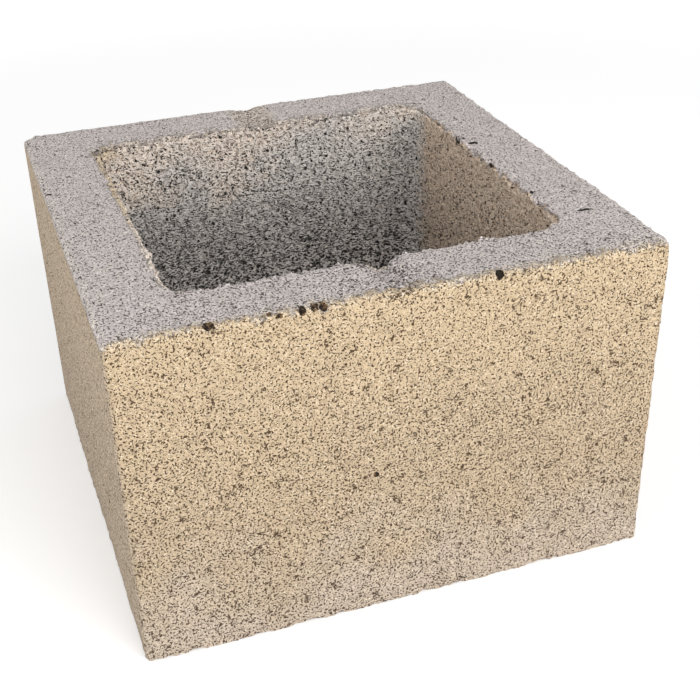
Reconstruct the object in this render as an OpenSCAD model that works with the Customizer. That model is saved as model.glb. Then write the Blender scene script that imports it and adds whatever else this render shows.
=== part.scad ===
// Hollow concrete block for piers and posts: one cell, four walls, one casting.
// Origin at the middle of the bottom face, +Z up, and -Y is the front face.

/* [Block] */
// Width across the front face
block_w = 290; // [200:1:400]
// Depth from the front face to the back face
block_d = 290; // [200:1:400]
// Height of one course
block_h = 190; // [120:1:250]
// Radius of the four upright outer edges
arris_r = 3; // [1:0.5:8]

/* [Core] */
// Thickness of the walls at the top face
wall = 40; // [25:1:60]
// Radius of the core's upright corners at the top face
core_r = 15; // [8:1:30]
// How much thicker each wall is at the bottom face, so that the core draws out upwards
core_draft = 2; // [0.5:0.5:5]

/* [Core bar marks] */
// Width of each mark at the top face
bar_w = 15; // [8:1:25]
// Width of each mark on its floor
bar_floor_w = 6; // [3:1:8]
// Depth of each mark at the outer face
bar_outer_depth = 1.5; // [0.5:0.5:4]
// Depth of each mark at the core
bar_core_depth = 6; // [4:0.5:10]

/* [Hidden] */
$fn = 96;

// How far each cut runs past the face that it starts from
overcut = 1;
cut_bottom = -overcut;
cut_top = block_h + overcut;

// Centres of the core's upright corners
corner_x = block_w / 2 - wall - core_r;
corner_y = block_d / 2 - wall - core_r;

// Radius of the core's corners at height z
function corner_r(z) = core_r - core_draft * (1 - z / block_h);

// Upright prism with rounded upright edges, standing on z = 0
module rounded_prism(w, d, h, r) {
    translate([-w / 2 + r, -d / 2, 0]) cube([w - 2 * r, d, h]);
    translate([-w / 2, -d / 2 + r, 0]) cube([w, d - 2 * r, h]);
    for (x = [-1, 1], y = [-1, 1])
        translate([x * (w / 2 - r), y * (d / 2 - r), 0]) cylinder(h = h, r = r);
}

// Section through the core, from wall to wall, with its corners' centres at +-centre
module core_section(centre) {
    bottom = centre + corner_r(cut_bottom);
    top = centre + corner_r(cut_top);
    polygon([[-bottom, cut_bottom], [bottom, cut_bottom], [top, cut_top], [-top, cut_top]]);
}

// The mould's core: flat drafted sides that run into a cone at each corner
module core() {
    rotate([90, 0, 0])
        linear_extrude(2 * corner_y, center = true) core_section(corner_x);
    rotate([90, 0, 90])
        linear_extrude(2 * corner_x, center = true) core_section(corner_y);
    for (x = [-1, 1], y = [-1, 1])
        translate([x * corner_x, y * corner_y, cut_bottom])
            cylinder(h = cut_top - cut_bottom, r1 = corner_r(cut_bottom), r2 = corner_r(cut_top));
}

// Trough across the top of the front wall, where the bar that holds the core kept the
// concrete from being pressed: its floor falls from the outer face towards the core
module core_bar_mark() {
    outer = -block_d / 2;
    inner = outer + wall;
    fall = (bar_core_depth - bar_outer_depth) / wall;
    flare = (bar_w - bar_floor_w) / 2 / bar_core_depth;
    lowest = bar_core_depth + fall * overcut;
    intersection() {
        translate([0, 0, block_h]) rotate([90, 0, 90])
            linear_extrude(2 * bar_w, center = true)
                polygon([
                    [outer - overcut, overcut],
                    [outer - overcut, -bar_outer_depth + fall * overcut],
                    [inner + overcut, -lowest],
                    [inner + overcut, overcut]
                ]);
        translate([0, (outer + inner) / 2, block_h]) rotate([90, 0, 0])
            linear_extrude(wall + 2 * overcut, center = true)
                polygon([
                    [-bar_floor_w / 2, -bar_core_depth],
                    [bar_floor_w / 2, -bar_core_depth],
                    [bar_w / 2 + flare * overcut, overcut],
                    [-bar_w / 2 - flare * overcut, overcut]
                ]);
    }
}

module block() {
    color([0.80, 0.72, 0.60])
        difference() {
            rounded_prism(block_w, block_d, block_h, arris_r);
            core();
            core_bar_mark();
            mirror([0, 1, 0]) core_bar_mark();
        }
}

block();
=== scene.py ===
import math
from types import SimpleNamespace

import bmesh
import bpy
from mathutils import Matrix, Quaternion, Vector


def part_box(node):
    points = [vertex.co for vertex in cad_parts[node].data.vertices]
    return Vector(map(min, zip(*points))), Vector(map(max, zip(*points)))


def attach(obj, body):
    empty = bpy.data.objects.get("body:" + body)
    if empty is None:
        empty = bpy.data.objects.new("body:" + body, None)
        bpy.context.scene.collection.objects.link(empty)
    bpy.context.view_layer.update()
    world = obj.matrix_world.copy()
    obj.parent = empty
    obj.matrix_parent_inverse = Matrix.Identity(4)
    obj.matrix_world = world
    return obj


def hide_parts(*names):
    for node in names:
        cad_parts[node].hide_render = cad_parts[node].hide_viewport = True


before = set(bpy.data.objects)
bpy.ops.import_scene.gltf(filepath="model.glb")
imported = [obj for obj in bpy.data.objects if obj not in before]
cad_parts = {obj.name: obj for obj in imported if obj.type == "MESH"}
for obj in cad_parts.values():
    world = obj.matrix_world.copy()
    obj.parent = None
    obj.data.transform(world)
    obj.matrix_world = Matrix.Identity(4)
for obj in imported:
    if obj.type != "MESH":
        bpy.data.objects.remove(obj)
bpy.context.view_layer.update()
low, high = (Vector(corner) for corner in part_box("block"))
centre = (low + high) / 2
size = high - low
millimetre = 0.001
print("frame loaded, block", [round(side / millimetre, 1) for side in size], "mm")


# shared helpers

def deselectAll():
    bpy.ops.object.select_all(action="DESELECT")


def makeActive(piece):
    deselectAll()
    piece.select_set(True)
    bpy.context.view_layer.objects.active = piece


def applyModifier(piece, kind, name, **settings):
    makeActive(piece)
    modifier = piece.modifiers.new(name, kind)
    for key, value in settings.items():
        setattr(modifier, key, value)
    bpy.ops.object.modifier_apply(modifier=name)


def pick(piece, kind, test):
    # selects only the faces, edges or verts that pass the test, in edit mode
    mode = {"faces": "FACE", "edges": "EDGE", "verts": "VERT"}[kind]
    bpy.ops.mesh.select_mode(type=mode)
    bpy.ops.mesh.select_all(action="DESELECT")
    mesh = bmesh.from_edit_mesh(piece.data)
    for item in getattr(mesh, kind):
        if test(item):
            item.select_set(True)
    mesh.select_flush_mode()
    bmesh.update_edit_mesh(piece.data)


def linear(red, green, blue):
    # a colour as the eye reads it, 0 to 255, for a colour socket
    def lift(value):
        value /= 255
        return value / 12.92 if value <= 0.04045 else ((value + 0.055) / 1.055) ** 2.4
    return (lift(red), lift(green), lift(blue), 1.0)


# node helpers, the same for the mesh relief and the paint

def feed(tree, socket, value):
    if isinstance(value, bpy.types.NodeSocket):
        tree.links.new(value, socket)
    else:
        socket.default_value = value


def calc(tree, operation, *values):
    node = tree.nodes.new("ShaderNodeMath")
    node.operation = operation
    for socket, value in zip(node.inputs, values):
        feed(tree, socket, value)
    return node.outputs[0]


def vectorCalc(tree, operation, first, second=None, scale=None):
    node = tree.nodes.new("ShaderNodeVectorMath")
    node.operation = operation
    feed(tree, node.inputs[0], first)
    if second is not None:
        feed(tree, node.inputs[1], second)
    if scale is not None:
        feed(tree, node.inputs["Scale"], scale)
    return node.outputs["Value" if operation == "LENGTH" else "Vector"]


def ramp(tree, value, start, end, first=0.0, last=1.0):
    # first at start and before, last at end and after, a smooth step between
    node = tree.nodes.new("ShaderNodeMapRange")
    node.interpolation_type = "SMOOTHSTEP"
    for socket, entry in zip(node.inputs, (value, start, end, first, last)):
        feed(tree, socket, entry)
    return node.outputs[0]


def between(tree, share, first, second):
    # first where the share is 0, second where it is 1
    return calc(tree, "MULTIPLY_ADD", share, second - first, first)


def noise(tree, place, grainSize, detail=2.0, roughness=0.5):
    # the size in mm of what the noise draws, then how many finer layers it has and how strong they are
    node = tree.nodes.new("ShaderNodeTexNoise")
    feed(tree, node.inputs["Vector"], place)
    node.inputs["Scale"].default_value = 1 / grainSize
    node.inputs["Detail"].default_value = detail
    node.inputs["Roughness"].default_value = roughness
    return node.outputs[0]


def aboutZero(tree, wave):
    return calc(tree, "SUBTRACT", wave, 0.5)


def grains(tree, place, grainSize):
    node = tree.nodes.new("ShaderNodeTexVoronoi")
    node.feature = "F1"
    feed(tree, node.inputs["Vector"], place)
    node.inputs["Scale"].default_value = 1 / grainSize
    return node


def chances(tree, cells):
    # three random values for each grain
    node = tree.nodes.new("ShaderNodeSeparateColor")
    feed(tree, node.inputs[0], cells.outputs["Color"])
    return node.outputs


def axes(tree, vector):
    node = tree.nodes.new("ShaderNodeSeparateXYZ")
    feed(tree, node.inputs[0], vector)
    return node.outputs


def mixColour(tree, factor, first, second):
    node = tree.nodes.new("ShaderNodeMix")
    node.data_type = "RGBA"
    feed(tree, node.inputs[0], factor)
    feed(tree, node.inputs[6], first)
    feed(tree, node.inputs[7], second)
    return node.outputs[2]


def scaled(tree, vector, share, factor):
    # a place or a colour, times the factor where the share is 1
    return vectorCalc(tree, "SCALE", vector, scale=ramp(tree, share, 0.0, 1.0, 1.0, factor))


# each pattern is drawn from its own part of the noise, this far away in mm

apart = {
    "swell": (55, 2, 8),
    "tornBar": (3, 91, 14),
    "openPatch": (31, 7, 57),
    "creviceBend": (17, 41, 5),
    "creviceWhere": (83, 3, 61),
    "speck": (61, 23, 9),
    "cloud": (11, 70, 29),
    "holeEdge": (5, 19, 3),
    "clay": (8, 2, 36),
}


def moved(tree, place, pattern):
    return vectorCalc(tree, "ADD", place, apart[pattern])


# camera, fitted to the block's edges in a square frame

view = {
    "place": (-0.1918, -0.6237, 0.4517),
    "looksAt": (0.0198, 0.0, 0.0487),
    "roll": -1.58,       # degrees
    "lens": 62.75,
    "sensor": 36,
    "shiftUp": 0.0543,   # part of the frame's side
}


def setCamera():
    data = bpy.data.cameras.new("photoView")
    data.lens = view["lens"]
    data.sensor_width = view["sensor"]
    data.shift_y = view["shiftUp"]
    camera = bpy.data.objects.new("photoView", data)
    bpy.context.collection.objects.link(camera)
    camera.location = view["place"]
    aim = Vector(view["looksAt"]) - Vector(view["place"])
    turn = Quaternion((0, 0, 1), math.radians(view["roll"]))
    camera.rotation_mode = "QUATERNION"
    camera.rotation_quaternion = aim.to_track_quat("-Z", "Y") @ turn
    bpy.context.scene.camera = camera


setCamera()
print("camera set")


# studio: pale floor, a broad key from the front right, a weak fill from the left, even light all round

studio = {
    "floorSide": 60.0,
    "floorColour": (236, 236, 236),
    "floorRoughness": 0.9,
    "floorLift": (0.32, 1.0),      # whitens the floor for the camera alone, near and far
    "floorFar": (0.8, 2.4),        # metres from the block, where the lift changes
    "surround": 0.60,
    "aim": (0.0, 0.0, 0.10),
    "lamps": {                     # place, side and power
        "key": ((0.45, -1.80, 1.00), 1.3, 29.0),
        "fill": ((-2.0, -0.2, 1.0), 1.6, 12.0),
    },
}


def seenByCamera(tree):
    path = tree.nodes.new("ShaderNodeLightPath")
    seen = calc(tree, "ADD", path.outputs["Is Camera Ray"], path.outputs["Is Glossy Ray"])
    seen = calc(tree, "ADD", seen, path.outputs["Is Transmission Ray"])
    return calc(tree, "MINIMUM", seen, 1.0)


def floorPaint():
    material = bpy.data.materials.new("paleFloor")
    material.use_nodes = True
    tree = material.node_tree
    shader = tree.nodes["Principled BSDF"]
    shader.inputs["Base Color"].default_value = linear(*studio["floorColour"])
    shader.inputs["Roughness"].default_value = studio["floorRoughness"]
    shader.inputs["Specular IOR Level"].default_value = 0.0
    shader.inputs["Emission Color"].default_value = (1, 1, 1, 1)
    coordinates = tree.nodes.new("ShaderNodeTexCoord")
    far = vectorCalc(tree, "LENGTH", coordinates.outputs["Object"])
    lift = ramp(tree, far, *studio["floorFar"], *studio["floorLift"])
    lift = calc(tree, "MULTIPLY", seenByCamera(tree), lift)
    tree.links.new(lift, shader.inputs["Emission Strength"])
    return material


def layFloor():
    deselectAll()
    bpy.ops.mesh.primitive_plane_add(size=studio["floorSide"], location=(0, 0, low.z))
    floor = bpy.context.object
    floor.name = "floor"
    floor.data.materials.append(floorPaint())


def lightStudio():
    world = bpy.data.worlds.new("paleRoom")
    bpy.context.scene.world = world
    world.use_nodes = True
    tree = world.node_tree
    back = tree.nodes["Background"]
    back.inputs["Color"].default_value = (1, 1, 1, 1)
    strength = ramp(tree, seenByCamera(tree), 0.0, 1.0, studio["surround"], 1.0)
    tree.links.new(strength, back.inputs["Strength"])

    for name, (place, side, power) in studio["lamps"].items():
        data = bpy.data.lights.new(name, "AREA")
        data.shape = "SQUARE"
        data.size = side
        data.energy = power
        lamp = bpy.data.objects.new(name, data)
        bpy.context.collection.objects.link(lamp)
        lamp.location = place
        aim = Vector(studio["aim"]) - Vector(place)
        lamp.rotation_mode = "QUATERNION"
        lamp.rotation_quaternion = aim.to_track_quat("-Z", "Y")


layFloor()
lightStudio()
bpy.context.scene.view_settings.view_transform = "Standard"
print("studio set")


# the block as it leaves the mould, before any wear

mould = {                     # lengths in metres
    "wall": 0.040,            # at the top face
    "draft": 0.002,           # each wall is this much thicker at the bottom
    "coreRadius": 0.015,
    "coreSegments": 8,
    "arrisRadius": 0.003,
    "arrisSegments": 4,
    "barSides": (-0.011, -0.003, 0.001, 0.009),   # core bar marks: rim, floor, floor, rim
    "barFrontDepth": (0.0004, 0.0055),   # in the front wall, outside and at the core
    "barBackDepth": (0.0016, 0.0024),    # in the back wall
    "rimRadius": 0.0014,      # where the sides and the core meet the top
    "rimSegments": 3,
    "rimAngle": 0.9,          # radians, an edge that turns by more is a rim
    "mostly": 0.9,            # how nearly level a face or upright an edge has to be
}


def castBlock():
    deselectAll()
    bpy.ops.mesh.primitive_cube_add(size=1, location=centre, scale=size)
    bpy.ops.object.transform_apply(location=True, rotation=True, scale=True)
    block = bpy.context.object
    block.name = "pressed_block"
    mostly = mould["mostly"]
    bpy.ops.object.mode_set(mode="EDIT")
    pick(block, "faces", lambda face: face.normal.z > mostly)
    bpy.ops.mesh.inset(thickness=mould["wall"])
    pick(block, "faces", lambda face: face.normal.z < -mostly)
    bpy.ops.mesh.inset(thickness=mould["wall"] + mould["draft"])

    # the core: both inner faces go, and walls join their edges
    def middle(face):
        spot = face.calc_center_median()
        return abs(face.normal.z) > mostly and abs(spot.x) + abs(spot.y) < millimetre
    pick(block, "faces", middle)
    bpy.ops.mesh.bridge_edge_loops()

    wallMiddle = min(size.x, size.y) / 2 - mould["wall"] / 2

    def upright(edge):
        first, second = (vert.co for vert in edge.verts)
        return abs(first.z - second.z) > mostly * size.z

    def inCore(edge):
        return upright(edge) and abs(edge.verts[0].co.x) < wallMiddle

    def onOutside(edge):
        return upright(edge) and abs(edge.verts[0].co.x) > wallMiddle

    pick(block, "edges", inCore)
    bpy.ops.mesh.bevel(offset=mould["coreRadius"], segments=mould["coreSegments"], affect="EDGES")
    pick(block, "edges", onOutside)
    bpy.ops.mesh.bevel(offset=mould["arrisRadius"], segments=mould["arrisSegments"], affect="EDGES")
    bpy.ops.object.mode_set(mode="OBJECT")
    return block


def markCoreBars(block):
    bpy.ops.object.mode_set(mode="EDIT")
    for place in mould["barSides"]:
        bpy.ops.mesh.select_all(action="SELECT")
        bpy.ops.mesh.bisect(plane_co=(place, 0, 0), plane_no=(1, 0, 0))
    wallMiddle = size.y / 2 - mould["wall"] / 2
    near = 0.1 * millimetre

    def sink(depth, start, end):
        # lowers the floor of a mark where y is from start to end
        def onFloor(vert):
            inMark = mould["barSides"][1] - near < vert.co.x < mould["barSides"][2] + near
            return inMark and vert.co.z > high.z - near and start < vert.co.y < end
        pick(block, "verts", onFloor)
        bpy.ops.transform.translate(value=(0, 0, -depth))

    frontOuter, frontInner = mould["barFrontDepth"]
    backOuter, backInner = mould["barBackDepth"]
    sink(frontInner, -wallMiddle, 0)
    sink(backInner, 0, wallMiddle)
    sink(frontOuter, -size.y, -wallMiddle)
    sink(backOuter, wallMiddle, size.y)

    # the rims of the top are rubbed round, the core's and the outer one
    def onRim(edge):
        nearTop = min(vert.co.z for vert in edge.verts) > high.z - 2 * frontInner
        return nearTop and edge.calc_face_angle(0.0) > mould["rimAngle"]
    pick(block, "edges", onRim)
    bpy.ops.mesh.bevel(
        offset=mould["rimRadius"],
        segments=mould["rimSegments"],
        affect="EDGES",
        clamp_overlap=True,
    )
    bpy.ops.object.mode_set(mode="OBJECT")


block = castBlock()
markCoreBars(block)
print("block cast,", len(block.data.polygons), "faces")


# knocks and holes, each a lump taken out of the block: place and radii in mm

knocks = {
    "chip left of the front edge": ((-95.6, -144.2, 189.7), (2.4, 2.6, 1.7)),
    "pit beside it": ((-67.3, -143.5, 190), (1.1, 0.9, 1.0)),
    "pit below the edge": ((-62.6, -144.7, 188.4), (1.5, 1.2, 0.9)),
    "hole in the front edge": ((-51.4, -144.4, 189.6), (1.4, 2.4, 2.6)),
    "wide hole in the front edge": ((-45.0, -144.2, 189.8), (2.0, 2.6, 1.9)),
    "its right half": ((-41.2, -144.4, 189.6), (1.9, 2.4, 2.2)),
    "notch right of the front edge": ((49.3, -144.2, 188.8), (1.7, 2.0, 2.4)),
    "blowhole in the front face": ((-16.5, -145, 87.5), (1.2, 1.2, 1.3)),
    "hole at the core's back left corner": ((-105.4, 98, 189.2), (2.8, 4.2, 3.6)),
    "pit on the left wall": ((-142.3, 41, 190), (1.5, 1.0, 0.9)),
    "small pit on the left wall": ((-128, 64, 190), (1.3, 0.8, 0.8)),
    "slit on the right wall": ((123.3, -93, 190), (3.6, 1.1, 1.2)),
    "hole at the core's right edge": ((107.4, 35, 189.0), (1.8, 2.6, 2.8)),
    "crack ahead of it": ((110.5, 22.6, 190), (2.8, 1.3, 1.3)),
    "gap at the core's right edge": ((105.0, -14.6, 189.4), (1.4, 1.7, 1.6)),
    "pit at the core's right edge": ((104.8, -42.0, 188.6), (2.4, 2.8, 3.0)),
    "dent beside it": ((106.4, -37.4, 190), (1.0, 1.0, 0.9)),
    "pit further on": ((108.6, -60.5, 190), (0.9, 1.1, 0.9)),
    "pit at the core's front right corner": ((102.5, -91, 188.0), (1.7, 1.9, 2.4)),
}
wornPlaces = {                 # taken out in the same way, but not dark inside
    "back left corner": ((-147, 147, 194), (12, 12, 7.5)),
    "front right corner": ((148, -148, 193), (7, 7, 6.5)),
    "step in the bottom edge": ((-55, -147, -1), (9, 4, 3)),
}
knockRough = {                 # the lumps aren't smooth
    "subdivisions": 3,
    "size": 2.2 * millimetre,
    "height": 1.4 * millimetre,
}


def knockBlock(block):
    lumps = []
    for place, reach in (knocks | wornPlaces).values():
        deselectAll()
        bpy.ops.mesh.primitive_ico_sphere_add(
            subdivisions=knockRough["subdivisions"],
            radius=millimetre,
            location=Vector(place) * millimetre,
            scale=reach,
        )
        bpy.ops.object.transform_apply(location=True, rotation=True, scale=True)
        lumps.append(bpy.context.object)
    deselectAll()
    for lump in lumps:
        lump.select_set(True)
    bpy.context.view_layer.objects.active = lumps[0]
    bpy.ops.object.join()
    lump = lumps[0]
    rough = bpy.data.textures.new("knockRough", "CLOUDS")
    rough.noise_scale = knockRough["size"]
    applyModifier(lump, "DISPLACE", "rough", texture=rough, strength=knockRough["height"], mid_level=0.5)
    applyModifier(block, "BOOLEAN", "knock", operation="DIFFERENCE", object=lump, use_self=True)
    bpy.data.objects.remove(lump)


knockBlock(block)
print("knocks taken out,", len(block.data.polygons), "faces")


# relief: open pits in flat faces and crumbled edges, on a fine even mesh that is then thinned

relief = {                     # lengths in mm
    "meshStep": 1.0,
    "edgeBlur": 14,            # steps of the mesh that an edge's wear reaches
    "edgeShort": (0.985, 0.78),   # length of the smoothed normal, on a flat face and on an edge
    "levelFrom": (0.6, 0.9),   # how far a normal looks up or down, on an upright and on a level face
    "coreWithin": (126.0, 124.0),
    "pitSize": 2.7,
    "pitLimit": {"skin": 0.385, "bed": 0.37, "core": 0.45},
    "pitEdge": (-0.015, 0.045),
    "pitDepth": {"skin": 0.55, "bed": 0.6, "core": 1.7},
    "swellSize": 60.0,
    "swellLevel": 0.6,         # most of the swell lies below the moulded face
    "swellHeight": 0.8,
    "lumps": ((17.0, 2.4), (6.5, 3.4), (3.4, 2.6)),   # size and height of what the edges break into
    "lumpLift": 0.35,          # part of a lump's height that stands above its face
    "creaseDepth": 2.0,        # between lumps, in heights of a lump
    "proud": 0.3,              # how far an edge stands above its face
    "outerWear": 0.19,         # the outer edges break less than those of the core
    "barGrain": 3.6,
    "barRough": 3.4,
    "barReach": (16.0, 7.0),   # from the middle, where the rough starts and is full
    "clearance": 0.2,          # below the lowest grains, before the mesh is thinned
    "smoothAngle": 35,         # degrees
    "triangles": 194000,
}


def byZone(tree, values, skin, core):
    # one value on the moulded skin, one on the beds, one in the core
    value = ramp(tree, skin, 0.0, 1.0, values["bed"], values["skin"])
    return ramp(tree, core, 0.0, 1.0, value, values["core"])


def pitField(tree, place, skin, core):
    limit = byZone(tree, relief["pitLimit"], skin, core)
    body = noise(tree, place, relief["pitSize"], 1.0)
    return ramp(tree, calc(tree, "SUBTRACT", limit, body), *relief["pitEdge"])


def reliefTree():
    tree = bpy.data.node_groups.new("concreteRelief", "GeometryNodeTree")
    tree.interface.new_socket("Geometry", in_out="INPUT", socket_type="NodeSocketGeometry")
    tree.interface.new_socket("Geometry", in_out="OUTPUT", socket_type="NodeSocketGeometry")
    entry = tree.nodes.new("NodeGroupInput")
    result = tree.nodes.new("NodeGroupOutput")
    position = tree.nodes.new("GeometryNodeInputPosition")
    place = vectorCalc(tree, "SCALE", position.outputs[0], scale=1 / millimetre)
    x, y = axes(tree, place)[:2]
    across = calc(tree, "ABSOLUTE", x)
    reach = calc(tree, "MAXIMUM", across, calc(tree, "ABSOLUTE", y))

    # an edge is where the smoothed normal is short
    normal = tree.nodes.new("GeometryNodeInputNormal")
    blur = tree.nodes.new("GeometryNodeBlurAttribute")
    blur.data_type = "FLOAT_VECTOR"
    feed(tree, blur.inputs["Value"], normal.outputs[0])
    blur.inputs["Iterations"].default_value = relief["edgeBlur"]
    smooth = blur.outputs[0]
    edge = ramp(tree, vectorCalc(tree, "LENGTH", smooth), *relief["edgeShort"])
    outward = vectorCalc(tree, "NORMALIZE", smooth)
    upward = axes(tree, outward)[2]
    level = ramp(tree, calc(tree, "ABSOLUTE", upward), *relief["levelFrom"])
    upright = calc(tree, "SUBTRACT", 1.0, level)
    inner = ramp(tree, reach, *relief["coreWithin"])
    core = calc(tree, "MULTIPLY", inner, upright)
    skin = calc(tree, "MULTIPLY", calc(tree, "SUBTRACT", 1.0, inner), upright)

    depth = byZone(tree, relief["pitDepth"], skin, core)
    pits = calc(tree, "MULTIPLY", pitField(tree, place, skin, core), depth)
    swell = noise(tree, moved(tree, place, "swell"), relief["swellSize"], 1.0)
    swell = calc(tree, "SUBTRACT", swell, relief["swellLevel"])
    swell = calc(tree, "MULTIPLY", swell, relief["swellHeight"])
    height = calc(tree, "SUBTRACT", swell, pits)

    # edges crumble in rounded lumps with creases between them
    crumb = relief["proud"]
    for lumpSize, lumpHeight in relief["lumps"]:
        aside = vectorCalc(tree, "ADD", place, (lumpSize, 0, 0))
        far = grains(tree, aside, lumpSize).outputs["Distance"]
        hollow = calc(tree, "MULTIPLY", calc(tree, "MULTIPLY", far, far), relief["creaseDepth"] * lumpHeight)
        hollow = calc(tree, "SUBTRACT", hollow, relief["lumpLift"] * lumpHeight)
        crumb = calc(tree, "SUBTRACT", crumb, hollow)
    wear = ramp(tree, inner, 0.0, 1.0, relief["outerWear"], 1.0)
    crumb = calc(tree, "MULTIPLY", crumb, calc(tree, "MULTIPLY", edge, wear))
    height = calc(tree, "ADD", height, crumb)

    # the core bar marks are torn rough
    torn = aboutZero(tree, noise(tree, moved(tree, place, "tornBar"), relief["barGrain"]))
    torn = calc(tree, "MULTIPLY", torn, ramp(tree, across, *relief["barReach"]))
    torn = calc(tree, "MULTIPLY", torn, level)
    height = calc(tree, "MULTIPLY_ADD", torn, relief["barRough"], height)

    # nothing reaches below what the block stands on; sideways the limit is a metre off
    offset = vectorCalc(tree, "SCALE", outward, scale=calc(tree, "MULTIPLY", height, millimetre))
    target = vectorCalc(tree, "ADD", position.outputs[0], offset)
    lowest = (low.x - 1, low.y - 1, low.z + relief["clearance"] * millimetre)
    target = vectorCalc(tree, "MAXIMUM", target, lowest)
    move = tree.nodes.new("GeometryNodeSetPosition")
    feed(tree, move.inputs["Geometry"], entry.outputs[0])
    feed(tree, move.inputs["Position"], target)
    feed(tree, result.inputs[0], move.outputs[0])
    return tree


def roughenBlock(block):
    applyModifier(block, "REMESH", "evenMesh", mode="VOXEL", voxel_size=relief["meshStep"] * millimetre)
    print("even mesh,", len(block.data.polygons), "faces")
    applyModifier(block, "NODES", "relief", node_group=reliefTree())
    applyModifier(block, "TRIANGULATE", "triangles")
    applyModifier(block, "DECIMATE", "thin", ratio=relief["triangles"] / len(block.data.polygons))
    makeActive(block)
    bpy.ops.object.shade_smooth_by_angle(angle=math.radians(relief["smoothAngle"]))


roughenBlock(block)
block.data.calc_loop_triangles()
print("relief done,", len(block.data.loop_triangles), "triangles")


# concrete paint: sandy moulded skin outside, grey beds, grey open core

paint = {
    # the sandy sides and the grey top are partly the concrete's own colours and partly painted light, warm
    # on the sides and cool on the top
    "sandUpper": (198, 176, 145),
    "sandLower": (188, 168, 141),
    "sandGreyLow": (194, 178, 160),
    # painted shade: the left face's own duller tone
    "sandLeftShading": (197, 179, 157),
    # painted shade inside the pores
    "sandPoreShade": (58, 32, 4),
    "bedGrey": (200, 191, 188),
    "bedBeige": (202, 186, 168),
    # painted shade inside the pores
    "bedPoreShade": (60, 54, 50),
    # painted light: the core's upper part is a lit beige, and its grey below stands for the shaded part
    "coreLitBeige": (228, 215, 203),
    "coreGrey": (208, 202, 197),
    # painted light: warm bounce light on the core's right wall
    "coreWarmBounce": (216, 194, 172),
    # painted shade inside the pores
    "corePoreShade": (12, 9, 7),
    # painted light: a lit tan on the core's left rim
    "rimLitTan": (212, 193, 165),
    "paleGrain": (244, 232, 212),
    # painted shade inside the knocked holes
    "hole": (26, 19, 14),
    "holeClay": (112, 86, 58),
    "roughness": 0.93,
    "shine": 0.2,
}


def tint(name):
    return linear(*paint[name])


def zoned(tree, at, values):
    return byZone(tree, values, at.skin, at.core)


# what the paint has to know about a place: where it is and which grains it belongs to

sides = {                          # mm, where each side of the block begins and is full
    "front": (3.0, -3.0),          # of |x| + y, so that it ends at the corners
    "back": (85.0, 100.0),
    "left": (-85.0, -100.0),
    "right": (85.0, 100.0),
}
sand = {                           # lengths in mm
    "fines": 0.62,
    "finesTone": {"skin": 0.09, "bed": 0.20, "core": 0.16},
    "finesDepth": 0.18,
    "crumb": 1.7,
    "crumbTone": 0.16,
    "wobble": (7.0, 4.0, 0.65),    # noise that makes borders wander
    "outerEdge": (5.0, 1.5),       # of the top, where more grains are pale
    "rare": (0.94, 0.78),          # chance that a grain isn't pale, on a face and at that edge
    "pale": (0.0, 0.03, 0.0, 0.6),
}


def measure(tree):
    at = SimpleNamespace()
    coordinates = tree.nodes.new("ShaderNodeTexCoord")
    at.place = vectorCalc(tree, "SCALE", coordinates.outputs["Object"], scale=1 / millimetre)
    at.x, at.y, at.z = axes(tree, at.place)
    at.across = calc(tree, "ABSOLUTE", at.x)
    at.front = ramp(tree, calc(tree, "ADD", at.across, at.y), *sides["front"])
    at.back = ramp(tree, at.y, *sides["back"])
    at.left = ramp(tree, at.x, *sides["left"])
    at.right = ramp(tree, at.x, *sides["right"])

    # how far below the moulded faces
    halfSide = size.x / 2 / millimetre
    coreRadius = mould["coreRadius"] / millimetre
    straight = halfSide - mould["wall"] / millimetre - coreRadius
    reach = calc(tree, "MAXIMUM", at.across, calc(tree, "ABSOLUTE", at.y))
    at.underSkin = calc(tree, "SUBTRACT", halfSide, reach)
    plan = vectorCalc(tree, "ABSOLUTE", vectorCalc(tree, "MULTIPLY", at.place, (1, 1, 0)))
    plan = vectorCalc(tree, "SUBTRACT", plan, (straight, straight, 0))
    plan = vectorCalc(tree, "MAXIMUM", plan, (0, 0, 0))
    at.underCore = calc(tree, "SUBTRACT", vectorCalc(tree, "LENGTH", plan), coreRadius)
    at.underTop = calc(tree, "SUBTRACT", size.z / millimetre, at.z)

    at.cells = grains(tree, at.place, sand["fines"])
    at.fines = chances(tree, at.cells)
    at.crumbs = chances(tree, grains(tree, at.place, sand["crumb"]))
    at.wobble = aboutZero(tree, noise(tree, at.place, *sand["wobble"]))
    return at


# the skin and the core reach a little way over the worn edges of the top, with a ragged border

border = {                         # lengths in mm, the first six elsewhere and on the sides in the note
    "skinReach": (-3.5, 1.5),      # front
    "skinStray": (6.0, 20.0),      # front
    "skinSoft": (1.0, 4.0),        # front
    "coreReach": (0.0, 3.0),       # back and left
    "coreStray": (10.0, 22.0),     # back and right
    "coreSoft": (1.0, 5.0),        # back
    "barReach": 3.0,               # how much further the skin reaches at the core bar mark
    "byBar": (30.0, 15.0),         # of |x|, where that starts and is full
    "fray": (1.4, -1.2),           # factor and offset for what crumbs add
    "wallReach": (20.0, 8.0, 3.0, 16.0),   # two depths, and how far into the wall a zone goes there
    "edge": (0.5, -0.5),
}


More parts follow.
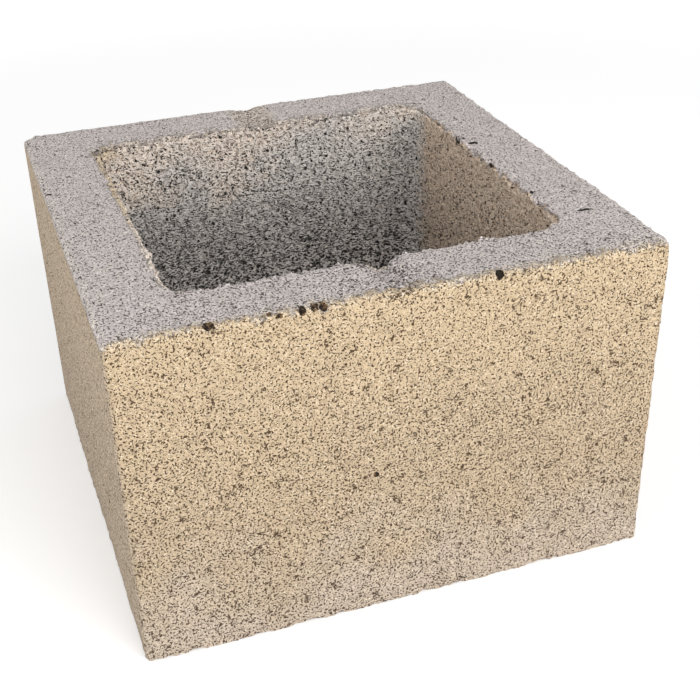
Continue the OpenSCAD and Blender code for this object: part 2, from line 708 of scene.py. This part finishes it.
def findZones(tree, at):
    fray = calc(tree, "MULTIPLY_ADD", at.crumbs[0], *border["fray"])
    fray = calc(tree, "ADD", at.fines[2], fray)

    def overEdge(depth, reach, stray, soft):
        # measured along the surface: inward on the top, downward on the side
        away = calc(tree, "SUBTRACT", calc(tree, "SUBTRACT", depth, at.underTop), reach)
        away = calc(tree, "SUBTRACT", away, calc(tree, "MULTIPLY", at.wobble, stray))
        away = calc(tree, "MULTIPLY_ADD", fray, soft, away)
        limit = ramp(tree, at.underTop, *border["wallReach"])
        within = ramp(tree, calc(tree, "SUBTRACT", depth, limit), *border["edge"])
        return calc(tree, "MULTIPLY", ramp(tree, calc(tree, "DIVIDE", away, soft), *border["edge"]), within)

    byBar = calc(tree, "MULTIPLY", ramp(tree, at.across, *border["byBar"]), at.front)
    reach = between(tree, at.front, *border["skinReach"])
    reach = calc(tree, "MULTIPLY_ADD", byBar, border["barReach"], reach)
    stray = between(tree, at.front, *border["skinStray"])
    soft = between(tree, at.front, *border["skinSoft"])
    at.skin = overEdge(at.underSkin, reach, stray, soft)

    reach = between(tree, calc(tree, "MAXIMUM", at.back, at.left), *border["coreReach"])
    stray = between(tree, calc(tree, "MAXIMUM", at.back, at.right), *border["coreStray"])
    soft = between(tree, at.back, *border["coreSoft"])
    at.core = overEdge(at.underCore, reach, stray, soft)


# broad tones, cloudy all over

cloudy = {
    "noise": (40.0, 4.0, 0.6),
    "reach": 130.0,                # mm that a cloud shifts a tone up or down
}
skinLook = {                       # lengths in mm
    "upper": (60.0, 190.0),        # of the height
    "greyLow": (75.0, 0.0),
    "leftFace": (-141.0, -143.5),
    "leftCorner": (-0.5, 1.5),     # of y - x, so that the front stays as it is
    "leftShadingShare": 0.8,
}
coreLook = {                       # lengths in mm
    "litBandFrom": (0.17, 173.0),    # the height where beige starts: its rise along x, and at x = 0
    "litBand": (-14.0, 14.0),
    # painted light: the core is paler low on the right, where the corner would shade it
    "paintedLightRight": (20.0, 95.0),     # low on the right it is paler
    "paintedLightLow": (175.0, 110.0),
    "paintedLightTone": 1.18,
    "warmWall": (99.0, 103.0, 0.0, 0.9),
    "warmFrom": (98.0, 78.0),      # of y, so from a little past the corner
    "warmStray": 40.0,
    "leftRim": (14.0, 2.0),        # below the top
    "leftRimBack": (-50.0, 30.0),
    "leftRimShare": 0.85,
}
bedLook = {
    "backMark": (18.0, 6.0),       # mm of |x|, the core bar mark at the back has beige patches
    "patch": (-0.25, 0.05, 0.0, 0.6),
}


def skinTone(tree, at, height):
    tone = mixColour(tree, ramp(tree, height, *skinLook["upper"]), tint("sandLower"), tint("sandUpper"))
    # greyer towards the bottom
    tone = mixColour(tree, ramp(tree, height, *skinLook["greyLow"]), tone, tint("sandGreyLow"))
    # painted shade: the left face, turned from the key light, gets its own duller tone
    corner = ramp(tree, calc(tree, "SUBTRACT", at.y, at.x), *skinLook["leftCorner"])
    leftShading = calc(tree, "MULTIPLY", ramp(tree, at.x, *skinLook["leftFace"]), corner)
    return mixColour(tree, calc(tree, "MULTIPLY", leftShading, skinLook["leftShadingShare"]), tone, tint("sandLeftShading"))


def coreTone(tree, at, height):
    # painted light: lit beige above a line that rises towards the right, along the shadow of the right wall
    litBandFrom = calc(tree, "MULTIPLY_ADD", at.x, *coreLook["litBandFrom"])
    litBand = ramp(tree, calc(tree, "SUBTRACT", height, litBandFrom), *coreLook["litBand"])
    tone = mixColour(tree, litBand, tint("coreGrey"), tint("coreLitBeige"))
    # painted light: paler low on the right, against the shade of the corner
    lowDown = ramp(tree, at.z, *coreLook["paintedLightLow"])
    paintedLightLowRight = calc(tree, "MULTIPLY", ramp(tree, at.x, *coreLook["paintedLightRight"]), lowDown)
    tone = scaled(tree, tone, paintedLightLowRight, coreLook["paintedLightTone"])

    # painted light: the right wall is warm with painted bounce light, and the left rim a lit tan towards the
    # back
    fromCorner = calc(tree, "MULTIPLY_ADD", at.wobble, coreLook["warmStray"], at.y)
    pastCorner = ramp(tree, fromCorner, *coreLook["warmFrom"])
    warmBounce = calc(tree, "MULTIPLY", ramp(tree, at.x, *coreLook["warmWall"]), pastCorner)
    tone = mixColour(tree, warmBounce, tone, tint("coreWarmBounce"))
    # painted light: the lit tan on the left rim
    leftRim = calc(tree, "MULTIPLY", at.left, coreLook["leftRimShare"])
    leftRim = calc(tree, "MULTIPLY", ramp(tree, at.underTop, *coreLook["leftRim"]), leftRim)
    leftRim = calc(tree, "MULTIPLY", leftRim, ramp(tree, at.y, *coreLook["leftRimBack"]))
    return mixColour(tree, leftRim, tone, tint("rimLitTan"))


def bedTone(tree, at):
    mark = calc(tree, "MULTIPLY", ramp(tree, at.across, *bedLook["backMark"]), at.back)
    mark = calc(tree, "MULTIPLY", mark, ramp(tree, at.wobble, *bedLook["patch"]))
    return mixColour(tree, mark, tint("bedGrey"), tint("bedBeige"))


def broadTones(tree, at):
    cloud = aboutZero(tree, noise(tree, moved(tree, at.place, "cloud"), *cloudy["noise"]))
    height = calc(tree, "MULTIPLY_ADD", cloud, cloudy["reach"], at.z)
    colour = mixColour(tree, at.skin, bedTone(tree, at), skinTone(tree, at, height))
    colour = mixColour(tree, at.core, colour, coreTone(tree, at, height))
    poreShade = mixColour(tree, at.skin, tint("bedPoreShade"), tint("sandPoreShade"))
    poreShade = mixColour(tree, at.core, poreShade, tint("corePoreShade"))
    return colour, poreShade


def sandGrains(tree, at, colour):
    tone = calc(tree, "MULTIPLY_ADD", at.fines[0], 2.0, -1.0)
    tone = calc(tree, "MULTIPLY_ADD", tone, zoned(tree, at, sand["finesTone"]), 1.0)
    tone = calc(tree, "MULTIPLY_ADD", aboutZero(tree, at.crumbs[1]), sand["crumbTone"], tone)
    colour = vectorCalc(tree, "SCALE", colour, scale=tone)
    nearEdge = ramp(tree, calc(tree, "MAXIMUM", at.underSkin, at.underTop), *sand["outerEdge"])
    rare = ramp(tree, nearEdge, 0.0, 1.0, *sand["rare"])
    pale = ramp(tree, calc(tree, "SUBTRACT", at.fines[1], rare), *sand["pale"])
    return mixColour(tree, pale, colour, tint("paleGrain"))


# rubbed edges: pale crumbs where the top wears over into the front, partly wear and partly painted light on
# the rounded arris, and a painted highlight along the core's rim

edgeWearAndLight = {                         # lengths in mm
    "bandStart": (-2.5, 0.5),      # inward on the top
    "bandEnd": (8.0, 3.0),
    "bandStray": 20.0,
    "bandCrumb": (0.55, 0.85, 0.0, 0.55),
    "bandBeige": 0.25,
    "crestHighlight": (4.0, 1.0),
    "crestRight": 0.7,             # on the right it is weaker than at the front
    "crestCrumb": (0.2, 0.8),
    "crestHighlightTone": 1.22,
}


def wornAndLitEdges(tree, at, colour):
    # partly wear and partly painted light: pale crumbs and beige on the rounded front edge of the top
    along = calc(tree, "SUBTRACT", at.underSkin, at.underTop)
    along = calc(tree, "SUBTRACT", along, calc(tree, "MULTIPLY", at.wobble, edgeWearAndLight["bandStray"]))
    start, end = (ramp(tree, along, *edgeWearAndLight[name]) for name in ("bandStart", "bandEnd"))
    band = calc(tree, "MULTIPLY", calc(tree, "MULTIPLY", start, end), at.front)
    pale = calc(tree, "MULTIPLY", band, ramp(tree, at.crumbs[1], *edgeWearAndLight["bandCrumb"]))
    colour = mixColour(tree, pale, colour, tint("paleGrain"))
    colour = mixColour(tree, calc(tree, "MULTIPLY", band, edgeWearAndLight["bandBeige"]), colour, tint("bedBeige"))

    # painted highlight along the core's rim
    crestHighlight = calc(tree, "MAXIMUM", calc(tree, "ABSOLUTE", at.underCore), at.underTop)
    onSide = calc(tree, "MAXIMUM", at.front, calc(tree, "MULTIPLY", at.right, edgeWearAndLight["crestRight"]))
    crestHighlight = calc(tree, "MULTIPLY", ramp(tree, crestHighlight, *edgeWearAndLight["crestHighlight"]), onSide)
    crestHighlight = calc(tree, "MULTIPLY", crestHighlight, ramp(tree, at.crumbs[2], *edgeWearAndLight["crestCrumb"]))
    return scaled(tree, colour, crestHighlight, edgeWearAndLight["crestHighlightTone"])


# how much more easily the surface opens in some places than in the rest of its zone

opens = {
    "pits": {"skin": 0.006, "bed": 0.03, "core": 0.005},
    "bar": 0.03,                   # the torn core bar marks
    "deep": 0.075,                 # the core low down
    "low": 0.014,                  # the sides below their upper third
    "rim": -0.03,                  # the core just below its rim, where it is closer
    "front": 0.02,                 # the top along the front
    "right": -0.022,               # the core's right wall, closer too
}
opensAt = {                        # mm
    "bar": (14.0, 6.0),            # of |x|
    "barDepth": (8.0, 4.0),        # below the top
    "deep": (170.0, 60.0),         # of z
    "low": (160.0, 100.0),
    "rim": (26.0, 4.0),            # below the top
    "right": (97.0, 104.0),        # of x
}


def looseness(tree, at, pits, deep):
    inBar = ramp(tree, at.across, *opensAt["bar"])
    places = {
        "bar": calc(tree, "MULTIPLY", inBar, ramp(tree, at.underTop, *opensAt["barDepth"])),
        "deep": deep,
        "low": calc(tree, "MULTIPLY", at.skin, ramp(tree, at.z, *opensAt["low"])),
        "rim": calc(tree, "MULTIPLY", at.core, ramp(tree, at.underTop, *opensAt["rim"])),
        "front": calc(tree, "MULTIPLY", calc(tree, "SUBTRACT", 1.0, at.skin), at.front),
        "right": calc(tree, "MULTIPLY", at.core, ramp(tree, at.x, *opensAt["right"])),
    }
    loose = calc(tree, "MULTIPLY", pits, zoned(tree, at, opens["pits"]))
    for name, share in places.items():
        loose = calc(tree, "MULTIPLY_ADD", share, opens[name], loose)
    return loose


# pores, crevices and specks, where the paste has left the sand open, painted dark inside as shade

pore = {                           # lengths in mm
    "size": 1.1,
    "finer": {"skin": 1.04, "bed": 0.95, "core": 0.69},   # times that the pattern is finer than that
    "stray": 3.0,
    "drawnOut": {"skin": 1.5, "bed": 0.5, "core": 1.3},   # pulls some pores from dots to dashes
    "coreFlat": 1.4,               # the core's pores are wider than tall
    "deepWider": 0.68,             # and coarser low down
    "patch": 9.0,
    "patchOpens": {"skin": 0.018, "bed": 0.05, "core": 0.010},   # how much more easily a patch opens
    "limit": {"skin": 0.577, "bed": 0.585, "core": 0.592},   # above this the surface is open
    "edge": {"skin": 0.07, "bed": 0.07, "core": 0.040},   # how fast a pore darkens
    "dark": ((-0.4, 0.6, 0.0, 0.62), (0.6, 1.5, 0.0, 0.35)),   # in two steps
    # painted highlight: a pale ring around each pore
    "rim": ((-0.14, -0.06), (-0.01, -0.06)),   # pale ring around a pore, its outer and inner side
    "ringHighlightTone": 1.24,
    "share": 0.96,
    "depth": 0.5,
    "rise": {"skin": 0.5, "bed": 0.6, "core": 2.4},   # of the surface between the pores
    # painted shade in the relief's pits:
    "pitShadeTone": 0.93,               # the relief's pits are a little darker
}
crevice = {                        # short winding lines, most of them low in the core
    "size": 5.0,                   # mm
    "roughness": 0.6,
    "width": (0.035, 0.012),
    "often": {"skin": -0.13, "bed": -0.14, "core": -0.13},
    "loose": 2.5,                  # more of them where the surface opens easily
    "where": (0.5, 0.56, 0.0, 0.95),
}
speck = {                          # single grains that have dropped out
    "size": 5.0,                   # mm
    "radius": {"skin": 0.12, "bed": 0.12, "core": 0.24},
    "stray": (1.2, 1.4),
    "chance": (0.35, 1.0),
    "edge": (0.01, -0.02),
}


def strayed(tree, place, grainSize, reach):
    # the same place moved about a little, so that straight borders wander
    wave = noise(tree, place, grainSize).node.outputs["Color"]
    wave = vectorCalc(tree, "SUBTRACT", wave, (0.5, 0.5, 0.5))
    return vectorCalc(tree, "ADD", place, vectorCalc(tree, "SCALE", wave, scale=reach))


def drawnOut(tree, at, deep):
    place = strayed(tree, at.place, pore["stray"], zoned(tree, at, pore["drawnOut"]))
    place = vectorCalc(tree, "SCALE", place, scale=zoned(tree, at, pore["finer"]))
    place = scaled(tree, place, deep, pore["deepWider"])
    flat = tree.nodes.new("ShaderNodeCombineXYZ")
    for axis, factor in enumerate((1.0, 1.0, ramp(tree, at.core, 0.0, 1.0, 1.0, pore["coreFlat"]))):
        feed(tree, flat.inputs[axis], factor)
    return vectorCalc(tree, "MULTIPLY", place, flat.outputs[0])


def openPores(tree, at, drawn, loose):
    field = noise(tree, drawn, pore["size"], 1.0)
    patch = aboutZero(tree, noise(tree, moved(tree, at.place, "openPatch"), pore["patch"]))
    spread = calc(tree, "MULTIPLY", patch, zoned(tree, at, pore["patchOpens"]))
    field = calc(tree, "ADD", field, calc(tree, "ADD", spread, loose))
    gape = calc(tree, "SUBTRACT", field, zoned(tree, at, pore["limit"]))
    outer, inner = (ramp(tree, gape, *step) for step in pore["rim"])
    rim = calc(tree, "MULTIPLY", outer, inner)
    gape = calc(tree, "DIVIDE", gape, zoned(tree, at, pore["edge"]))
    first, second = (ramp(tree, gape, *step) for step in pore["dark"])
    rise = calc(tree, "MULTIPLY", calc(tree, "SUBTRACT", 0.5, field), zoned(tree, at, pore["rise"]))
    return calc(tree, "ADD", first, second), rim, rise


def crevices(tree, at, drawn, loose):
    bend = noise(tree, moved(tree, drawn, "creviceBend"), crevice["size"], 2.0, crevice["roughness"])
    line = ramp(tree, calc(tree, "ABSOLUTE", aboutZero(tree, bend)), *crevice["width"])
    where = noise(tree, moved(tree, at.place, "creviceWhere"), crevice["size"], 1.0)
    where = calc(tree, "MULTIPLY_ADD", loose, crevice["loose"], where)
    where = calc(tree, "ADD", where, zoned(tree, at, crevice["often"]))
    return calc(tree, "MULTIPLY", line, ramp(tree, where, *crevice["where"]))


def specks(tree, at):
    place = moved(tree, strayed(tree, at.place, *speck["stray"]), "speck")
    cells = grains(tree, place, speck["size"])
    chance = ramp(tree, chances(tree, cells)[0], *speck["chance"])
    radius = calc(tree, "MULTIPLY", zoned(tree, at, speck["radius"]), chance)
    return ramp(tree, calc(tree, "SUBTRACT", cells.outputs["Distance"], radius), *speck["edge"])


# the holes that knocks leave are painted dark inside as shade, those left of the middle of the front partly
# clay brown

hole = {
    "farOff": 9.0,                 # in radii of the hole, and so are the next two
    "dark": (1.34, 1.20, 0.0, 0.97),
    "ragged": (1.6, -0.8),         # factor and offset for the noise
    "noise": (1.6, 3.0, 0.6),
    "clay": 1.8,                   # mm
    "clayPatch": (0.46, 0.56),
    "clayLeft": (0.0, -20.0),      # mm of x
}


def shadedHoles(tree, at, colour):
    nearest = hole["farOff"]
    for middle, radii in knocks.values():
        away = vectorCalc(tree, "SUBTRACT", at.place, middle)
        away = vectorCalc(tree, "LENGTH", vectorCalc(tree, "DIVIDE", away, radii))
        nearest = calc(tree, "MINIMUM", away, nearest)
    ragged = noise(tree, moved(tree, at.place, "holeEdge"), *hole["noise"])
    nearest = calc(tree, "ADD", nearest, calc(tree, "MULTIPLY_ADD", ragged, *hole["ragged"]))
    clay = ramp(tree, noise(tree, moved(tree, at.place, "clay"), hole["clay"]), *hole["clayPatch"])
    frontLeft = calc(tree, "MULTIPLY", at.front, ramp(tree, at.x, *hole["clayLeft"]))
    holeShadeOrClay = mixColour(tree, calc(tree, "MULTIPLY", clay, frontLeft), tint("hole"), tint("holeClay"))
    return mixColour(tree, ramp(tree, nearest, *hole["dark"]), colour, holeShadeOrClay)


def concretePaint():
    material = bpy.data.materials.new("pressedConcrete")
    material.use_nodes = True
    tree = material.node_tree
    shader = tree.nodes["Principled BSDF"]
    at = measure(tree)
    findZones(tree, at)
    colour, poreShade = broadTones(tree, at)
    colour = sandGrains(tree, at, colour)
    colour = wornAndLitEdges(tree, at, colour)

    pits = pitField(tree, at.place, at.skin, at.core)
    deep = calc(tree, "MULTIPLY", at.core, ramp(tree, at.z, *opensAt["deep"]))
    loose = looseness(tree, at, pits, deep)
    drawn = drawnOut(tree, at, deep)
    gaps, rim, rise = openPores(tree, at, drawn, loose)
    gaps = calc(tree, "MAXIMUM", gaps, crevices(tree, at, drawn, loose))
    gaps = calc(tree, "MAXIMUM", gaps, specks(tree, at))
    # painted shade: the relief's pits a little darker
    colour = scaled(tree, colour, pits, pore["pitShadeTone"])
    # painted highlight: pale rings around the pores
    colour = scaled(tree, colour, rim, pore["ringHighlightTone"])
    # painted shade: the pores, crevices and specks are dark
    colour = mixColour(tree, calc(tree, "MULTIPLY", gaps, pore["share"]), colour, poreShade)
    colour = shadedHoles(tree, at, colour)
    tree.links.new(colour, shader.inputs["Base Color"])
    shader.inputs["Roughness"].default_value = paint["roughness"]
    shader.inputs["Specular IOR Level"].default_value = paint["shine"]

    rise = calc(tree, "MULTIPLY_ADD", gaps, -pore["depth"], rise)
    rise = calc(tree, "MULTIPLY_ADD", at.cells.outputs["Distance"], -sand["finesDepth"], rise)
    bump = tree.nodes.new("ShaderNodeBump")
    bump.inputs["Strength"].default_value = 1.0
    bump.inputs["Distance"].default_value = millimetre
    tree.links.new(rise, bump.inputs["Height"])
    tree.links.new(bump.outputs[0], shader.inputs["Normal"])
    return material


block.data.materials.clear()
block.data.materials.append(concretePaint())
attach(block, "root")
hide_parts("block")
print("paint done")
